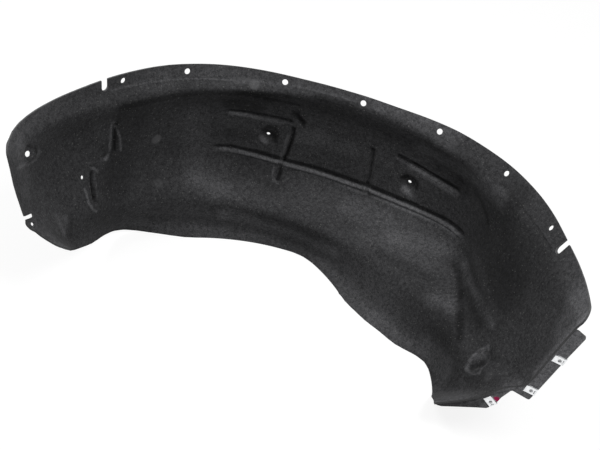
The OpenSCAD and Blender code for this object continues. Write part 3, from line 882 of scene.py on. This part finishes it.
def math_node(tree, operation, a, b):
    """Two values, or a value and a number, joined by an operation."""
    made = add_node(tree, "ShaderNodeMath", {0: a, 1: b}, operation=operation)
    return made.outputs["Value"]


def product(tree, first, *others):
    """The product of several values."""
    for other in others:
        first = math_node(tree, "MULTIPLY", first, other)
    return first


def bumped(tree, height, relief, under=None):
    """Normals that follow a height, on top of those under it."""
    strength, distance = relief
    made = add_node(tree, "ShaderNodeBump", {
        "Height": height, "Strength": strength, "Distance": distance})
    if under:
        feed(made, {"Normal": under})
    return made.outputs["Normal"]


def blended(tree, share, a, b):
    """Colour a turning into colour b by a share."""
    made = add_node(tree, "ShaderNodeMix", {0: share, 6: a, 7: b}, data_type="RGBA")
    return made.outputs[2]


def painted_light_ramp(tree, value, stops):
    """A smooth factor between 0 and 2 that follows the given stops, for painted light and shade.
    """
    made = add_node(tree, "ShaderNodeValToRGB", {"Fac": value})
    ramp = made.color_ramp
    ramp.interpolation = "CARDINAL"
    while len(ramp.elements) < len(stops):
        ramp.elements.new(0.5)
    for element, (position, tone) in zip(ramp.elements, stops):
        element.position = position
        element.color = grey(tone / 2)
    return product(tree, made.outputs["Color"], 2)


def ragged_spot(tree, place, centre, radius, ragged):
    """1 within a ragged round spot about a point given in millimetres, 0 outside it."""
    away = add_node(tree, "ShaderNodeVectorMath", {0: place, 1: (centre + TO_BASE) * MM},
                    operation="DISTANCE")
    edge = product(tree, ragged, radius * MM)
    reach = math_node(tree, "ADD", away.outputs["Value"], edge)
    start, end = (share * radius * MM for share in SPOT_FADE)
    return ranged(tree, reach, start, end, 1, 0)


def felt_material(colours):
    """Needled black felt: matted fibres, pale fibre ends, rubbed spots, a paint dab, and painted
    light and shade across the sheet and along its relief.
    """
    material, tree, shader = new_material("black_needled_felt")
    place = object_place(tree)
    fibres = noise_node(tree, place, *FIBRES)
    clumps = noise_node(tree, place, *CLUMPS)
    patches = noise_node(tree, place, *PATCHES)

    matted = math_node(tree, "ADD", product(tree, fibres, MATTED[0]),
                       product(tree, clumps, MATTED[1]))
    plain = blended(tree, ranged(tree, matted, *MATTED_RANGE), (*colours.felt_dark, 1),
                    (*colours.felt_light, 1))

    # The second map carries painted light and shade along the relief, with some wear.
    sheet, wear = (
        add_node(tree, "ShaderNodeSeparateXYZ", {
            0: add_node(tree, "ShaderNodeUVMap", {}, uv_map=layer).outputs["UV"]})
        for layer in ("sheet", "wear"))
    # Painted light and shade across the sheet and along it.
    across = painted_light_ramp(tree, sheet.outputs["Y"],
                       [(sheet_uv(0, u)[1], tone) for u, tone in PAINTED_LIGHT_ACROSS])
    painted_light_lengthways = painted_light_ramp(tree, sheet.outputs["X"],
                           [(sheet_uv(angle, 0)[0], tone) for angle, tone in PAINTED_LIGHT_ALONG])
    # The felt's colour is scaled by the painted light and shade, the wear and random patches.
    painted_shade_and_rubbing = math_node(tree, "ADD", wear.outputs["X"], 1)
    painted_tone_and_wear = product(tree, math_node(tree, "MAXIMUM", painted_shade_and_rubbing, DARKEST_PAINTED_SHADE), across, painted_light_lengthways,
                   ranged(tree, patches, *PATCH_RANGE))
    shade = add_node(tree, "ShaderNodeVectorMath", {0: plain, "Scale": painted_tone_and_wear}, operation="SCALE")
    colour = shade.outputs["Vector"]

    for angle, u, radius, strength in PALE_SPOTS:
        spot = ragged_spot(tree, place, skin(angle, u), radius, clumps)
        share = product(tree, spot, SPOT_STRENGTH * strength)
        colour = blended(tree, share, colour, (*colours.rubbed, 1))

    ends = add_node(tree, "ShaderNodeTexVoronoi", {"Vector": place, "Scale": FIBRE_ENDS})
    chosen = add_node(tree, "ShaderNodeSeparateColor", {"Color": ends.outputs["Color"]})
    rare = ranged(tree, chosen.outputs["Red"], *RARE_RANGE)
    speck = product(tree, rare, ranged(tree, ends.outputs["Distance"], *SPECK_RANGE))
    colour = blended(tree, speck, colour, (*colours.fibre_end, 1))

    (x, behind), radius = PAINT_DAB
    centre = Vector((x, FOOT_H, DEPTH - behind))
    dab = ragged_spot(tree, place, centre, radius, clumps)
    colour = blended(tree, dab, colour, (*colours.crimson, 1))
    normals = bumped(tree, fibres, FIBRE_RELIEF, bumped(tree, clumps, CLUMP_RELIEF))
    feed(shader, {"Base Color": colour, "Normal": normals, **MATT, **SHEEN})
    return material


def cut_felt_material(colours):
    """The die-cut edge of the felt, a little paler and more ragged than its face."""
    material, tree, shader = new_material("cut_felt_edge")
    fibres = noise_node(tree, object_place(tree), *CUT_FIBRES)
    tone = blended(tree, ranged(tree, fibres, *CUT_RANGE), (*colours.felt_light, 1),
                   (*colours.cut_edge, 1))
    feed(shader, {"Base Color": tone, "Normal": bumped(tree, fibres, CUT_RELIEF), **MATT})
    return material


def zinc_material(colours):
    """Bright zinc-plated sheet steel with fine rolling marks and duller patches."""
    material, tree, shader = new_material("bright_zinc_plate")
    place = object_place(tree)
    marks = noise_node(tree, place, *ROLLING_MARKS)
    bloom = noise_node(tree, place, *BLOOM)
    dull = tuple(c * ZINC_DULL for c in colours.zinc) + (1,)
    feed(shader, {
        "Base Color": blended(tree, ranged(tree, bloom, *BLOOM_RANGE), dull, (*colours.zinc, 1)),
        "Metallic": 1,
        "Roughness": ranged(tree, marks, *MARK_RANGE),
        "Normal": bumped(tree, marks, MARK_RELIEF),
    })
    return material


def clip_fold():
    """Side view of a clip nut's folded sheet, from one flared mouth round to the other."""
    radius = (CLIP_GAP + CLIP_SHEET) / 2
    bend = CLIP_LENGTH / 2 - radius - CLIP_SHEET / 2
    mouth = -CLIP_LENGTH / 2
    leaf = [(mouth + inward, radius + flare) for inward, flare in CLIP_MOUTH]
    turn = [(bend + radius * math.sin(a), radius * math.cos(a))
            for a in (math.pi * i / BEND_STEPS for i in range(BEND_STEPS + 1))]
    return leaf + turn + [(x, -z) for x, z in reversed(leaf)]


def make_clip_nut(name, spot, finish):
    """One folded sheet nut: flared mouth, drawn collar, screw hole and a slot at its fold."""
    x, behind, turn = spot
    place = (Matrix.Translation((x, CLIP_MIDDLE, DEPTH - behind))
             @ Matrix.Rotation(-math.radians(turn), 4, "Y")
             @ Matrix.Rotation(-math.pi / 2, 4, "X"))
    bm = bmesh.new()
    fold = [bm.verts.new(place @ Vector((px, -CLIP_WIDTH / 2, pz))) for px, pz in clip_fold()]
    edges = [bm.edges.new(pair) for pair in zip(fold, fold[1:])]
    across = place.to_3x3() @ Vector((0, 1, 0))
    made = bmesh.ops.extrude_edge_only(bm, edges=edges)["geom"]
    far = [g for g in made if isinstance(g, bmesh.types.BMVert)]
    bmesh.ops.translate(bm, vec=CLIP_WIDTH * across, verts=far)
    bmesh.ops.recalc_face_normals(bm, faces=bm.faces)
    nut = new_piece(name, bm, [finish])
    sheet = nut.modifiers.new("sheet", "SOLIDIFY")
    sheet.thickness = CLIP_SHEET * MM
    sheet.offset = 0
    rounding = nut.modifiers.new("rounded_edges", "BEVEL")
    rounding.width = CLIP_ROUND * MM
    rounding.segments = 2

    collar = bmesh.new()
    foot, rim, tall = COLLAR
    add_cone(collar, SCREW_HOLE / 2 + foot, SCREW_HOLE / 2 + rim, tall,
             place @ Matrix.Translation((0, 0, CLIP_TOP + tall / 2)))
    combine(nut, new_piece("collar", collar, [finish]), "UNION")

    bore = bmesh.new()
    up = place.to_3x3() @ Vector((0, 0, 1))
    centre = place @ Vector((0, 0, 0))
    half = BORE_LENGTH / 2
    add_bore(bore, centre + half * up, up, SCREW_HOLE)
    add_bore(bore, centre - (half + 0.5) * up, up, PLAIN_HOLE)
    cut(nut, bore, [finish])
    thread = bmesh.new()
    root = SCREW_HOLE / 2 + THREAD_DEPTH
    for height in THREAD_HEIGHTS:
        add_cone(thread, root, root, THREAD_WIDTH,
                 place @ Matrix.Translation((0, 0, CLIP_TOP + height)))
    cut(nut, thread, [finish])
    slot = bmesh.new()
    add_box(slot, FOLD_SLOT, place @ Matrix.Translation((FOLD_SLOT_AT, 0, 0)))
    cut(nut, slot, [finish])
    return nut


def make_clip_nuts(colours):
    """The three clip nuts of the rear foot, each in place of its CAD node."""
    zinc = zinc_material(colours)
    for node, spot in zip(CLIP_NODES, CLIP_SPOTS):
        finished(make_clip_nut("folded_" + node, spot, zinc), CLIP_SHARP, node)


def seen_apart(tree, plain, seen):
    """One look for the rays that should see white (camera, gloss and glass), one for others."""
    path = add_node(tree, "ShaderNodeLightPath", {})
    white = path.outputs["Is Camera Ray"]
    for other in ("Is Glossy Ray", "Is Transmission Ray"):
        white = math_node(tree, "MAXIMUM", white, path.outputs[other])
    mix = add_node(tree, "ShaderNodeMixShader", {"Fac": white, 1: plain, 2: seen})
    return mix.outputs["Shader"]


def floor_material(colours, light):
    """A white table top that keeps the object's shadow, seen a little faded."""
    material, tree, shader = new_material("white_table")
    feed(shader, {"Base Color": (*colours.table, 1), "Roughness": 0.9, "Specular IOR Level": 0})
    plain = shader.outputs["BSDF"]
    glow = add_node(tree, "ShaderNodeEmission", {"Color": grey(1), "Strength": light.floor_glow})
    lit = add_node(tree, "ShaderNodeAddShader", {0: plain, 1: glow.outputs["Emission"]})
    looks = seen_apart(tree, plain, lit.outputs["Shader"])
    feed(tree.nodes["Material Output"], {"Surface": looks})
    return material


def make_floor(colours, light):
    """A round table top under the liner."""
    bm = bmesh.new()
    bmesh.ops.create_circle(bm, cap_ends=True, segments=64, radius=TABLE_RADIUS)
    floor = new_piece("table_top", bm, [floor_material(colours, light)])


def make_world(light):
    """Even surroundings, seen as white."""
    world = bpy.data.worlds.new("studio")
    world.use_nodes = True
    bpy.context.scene.world = world
    tree = world.node_tree
    tree.nodes.clear()
    fill, white = (
        add_node(tree, "ShaderNodeBackground", {"Color": grey(1), "Strength": strength})
        for strength in (light.fill, 1))
    looks = seen_apart(tree, fill.outputs["Background"], white.outputs["Background"])
    add_node(tree, "ShaderNodeOutputWorld", {"Surface": looks})


def make_lamp(name, direction, energy):
    """A square soft light that faces the middle of the liner."""
    lamp = bpy.data.lights.new(name, "AREA")
    lamp.size = SOFTBOX_SIZE
    lamp.energy = energy
    holder = bpy.data.objects.new(name, lamp)
    middle = (CAD_BOX[0] + CAD_BOX[1]) / 2
    holder.location = middle + Vector(direction).normalized() * SOFTBOX_DISTANCE
    holder.rotation_mode = "QUATERNION"
    holder.rotation_quaternion = Vector(direction).to_track_quat("Z", "Y")
    bpy.context.scene.collection.objects.link(holder)


def make_camera(view):
    """The photograph's camera."""
    camera = bpy.data.cameras.new("photo_camera")
    camera.sensor_width = 36
    camera.lens = view.lens
    holder = bpy.data.objects.new("photo_camera", camera)
    e, a = view.elevation, view.azimuth
    back = Vector((math.sin(a) * math.cos(e), -math.cos(a) * math.cos(e), math.sin(e)))
    holder.location = Vector(view.target) + back * view.distance
    holder.rotation_mode = "QUATERNION"
    turn = (-back).to_track_quat("-Z", "Y")
    holder.rotation_quaternion = turn @ Quaternion((0, 0, 1), view.roll)
    bpy.context.scene.collection.objects.link(holder)
    bpy.context.scene.camera = holder


def length_property(name, value, least, description):
    """A length setting in millimetres with its default and its least value."""
    return FloatProperty(name=name, default=value, min=least,
                         description=description + ", in millimetres")


class LinerSizes(bpy.types.PropertyGroup):
    """Sizes of the felt shell, in millimetres."""

    felt_thickness: length_property("Felt thickness", 3, 1, "Thickness of the felt")
    groove_depth: length_property("Groove depth", 5, 0, "Depth of the long groove")
    dimple_depth: length_property("Dimple depth", 7, 0, "Depth of the crown dimples")
    lip_hole: length_property("Lip hole", 8.5, 1, "Diameter of the lip's holes")
    wave_length: length_property("Wave length", 38, 1, "Length of the felt's broad waves")
    wave_height: length_property("Wave height", 0.45, 0, "Height of the felt's broad waves")
    lump_length: length_property("Lump length", 9, 1, "Length of the felt's small lumps")
    lump_height: length_property("Lump height", 0.22, 0, "Height of the felt's small lumps")


def colour_property(name, value, description):
    """A colour setting with its default."""
    return FloatVectorProperty(name=name, subtype="COLOR", size=3, min=0, max=1,
                               default=value, description=description)


class LinerColours(bpy.types.PropertyGroup):
    """Colours of the finishes."""

    felt_dark: colour_property("Felt dark", (0.019, 0.019, 0.02), "Hollows of the felt")
    felt_light: colour_property("Felt light", (0.074, 0.074, 0.077), "Raised fibres")
    fibre_end: colour_property("Fibre end", (0.22, 0.22, 0.21), "Pale ends of single fibres")
    rubbed: colour_property("Rubbed", (0.16, 0.16, 0.165), "Pale rubbed spots")
    cut_edge: colour_property("Cut edge", (0.12, 0.12, 0.12), "Inner fibres at a cut edge")
    zinc: colour_property("Zinc", (0.86, 0.87, 0.88), "Plated clip nuts")
    crimson: colour_property("Crimson", (0.42, 0.02, 0.1), "Paint dab by a clip nut")
    table: colour_property("Table", (0.2, 0.2, 0.2), "Table top")


class LinerLight(bpy.types.PropertyGroup):
    """Strength of the studio light."""

    key: FloatProperty(name="Key", default=28, min=0, subtype="POWER", unit="POWER",
                       description="Power of the soft light at the right")
    side: FloatProperty(name="Side", default=16, min=0, subtype="POWER", unit="POWER",
                        description="Power of the soft light at the left")
    fill: FloatProperty(name="Fill", default=0.36, min=0,
                        description="Strength of the even surroundings")
    floor_glow: FloatProperty(name="Floor glow", default=0.85, min=0,
                              description="How much white the seen floor has of its own")


class LinerView(bpy.types.PropertyGroup):
    """Where the photograph was taken from."""

    azimuth: FloatProperty(name="Azimuth", default=math.radians(3.9), subtype="ANGLE",
                           description="Angle round the liner")
    elevation: FloatProperty(name="Elevation", default=math.radians(37.83),
                             subtype="ANGLE", description="Angle over the table")
    roll: FloatProperty(name="Roll", default=math.radians(13.4), subtype="ANGLE",
                        description="Turn of the camera about its own line of sight")
    distance: FloatProperty(name="Distance", default=1.9, min=0.1, unit="LENGTH",
                            description="From the camera to its target")
    lens: FloatProperty(name="Lens", default=84.66, min=1, unit="CAMERA",
                        description="Focal length on a 36 mm sensor")
    target: FloatVectorProperty(name="Target", default=(-0.00489, -0.03401, 0.17), size=3,
                                subtype="TRANSLATION", unit="LENGTH",
                                description="The point at the middle of the picture")


class LINER_OT_stage(bpy.types.Operator):
    """Makes the table top, the lights and the camera"""

    bl_idname = "liner.stage"
    bl_label = "Stage"

    def execute(self, context):
        scene = context.scene
        scene.view_settings.view_transform = "Standard"
        make_floor(scene.liner_colours, scene.liner_light)
        make_world(scene.liner_light)
        make_lamp("right_softbox", SOFTBOX_RIGHT, scene.liner_light.key)
        make_lamp("left_softbox", SOFTBOX_LEFT, scene.liner_light.side)
        make_camera(scene.liner_view)
        return {"FINISHED"}


class LINER_OT_felt_shell(bpy.types.Operator):
    """Makes the moulded felt shell with its tabs and holes"""

    bl_idname = "liner.felt_shell"
    bl_label = "Felt shell"

    def execute(self, context):
        make_felt_shell(context.scene.liner_sizes, context.scene.liner_colours)
        return {"FINISHED"}


class LINER_OT_clip_nuts(bpy.types.Operator):
    """Makes the three folded clip nuts"""

    bl_idname = "liner.clip_nuts"
    bl_label = "Clip nuts"

    def execute(self, context):
        make_clip_nuts(context.scene.liner_colours)
        return {"FINISHED"}


class LINER_PT_panel(bpy.types.Panel):
    """Lists the liner's sizes, colours and pieces"""

    bl_label = "Wheel arch liner"
    bl_space_type = "VIEW_3D"
    bl_region_type = "UI"
    bl_category = "Liner"

    def draw(self, context):
        for group in (context.scene.liner_sizes, context.scene.liner_colours,
                      context.scene.liner_light, context.scene.liner_view):
            box = self.layout.box()
            for name in group.bl_rna.properties.keys():
                if name not in ("rna_type", "name"):
                    box.prop(group, name)
        for operator in OPERATORS:
            self.layout.operator(operator.bl_idname)


GROUPS = {
    "liner_sizes": LinerSizes,
    "liner_colours": LinerColours,
    "liner_light": LinerLight,
    "liner_view": LinerView,
}
OPERATORS = (LINER_OT_stage, LINER_OT_felt_shell, LINER_OT_clip_nuts)


def register():
    """Adds the classes and the scene's settings."""
    for cls in (*GROUPS.values(), *OPERATORS, LINER_PT_panel):
        bpy.utils.register_class(cls)
    for name, group in GROUPS.items():
        setattr(bpy.types.Scene, name, PointerProperty(type=group))


def unregister():
    """Takes the classes and the settings away again."""
    for name in GROUPS:
        delattr(bpy.types.Scene, name)
    for cls in reversed((*GROUPS.values(), *OPERATORS, LINER_PT_panel)):
        bpy.utils.unregister_class(cls)


def main():
    """Builds the stage and every piece."""
    register()
    bpy.ops.liner.stage()
    bpy.ops.liner.felt_shell()
    bpy.ops.liner.clip_nuts()


if __name__ == "__main__":
    main()
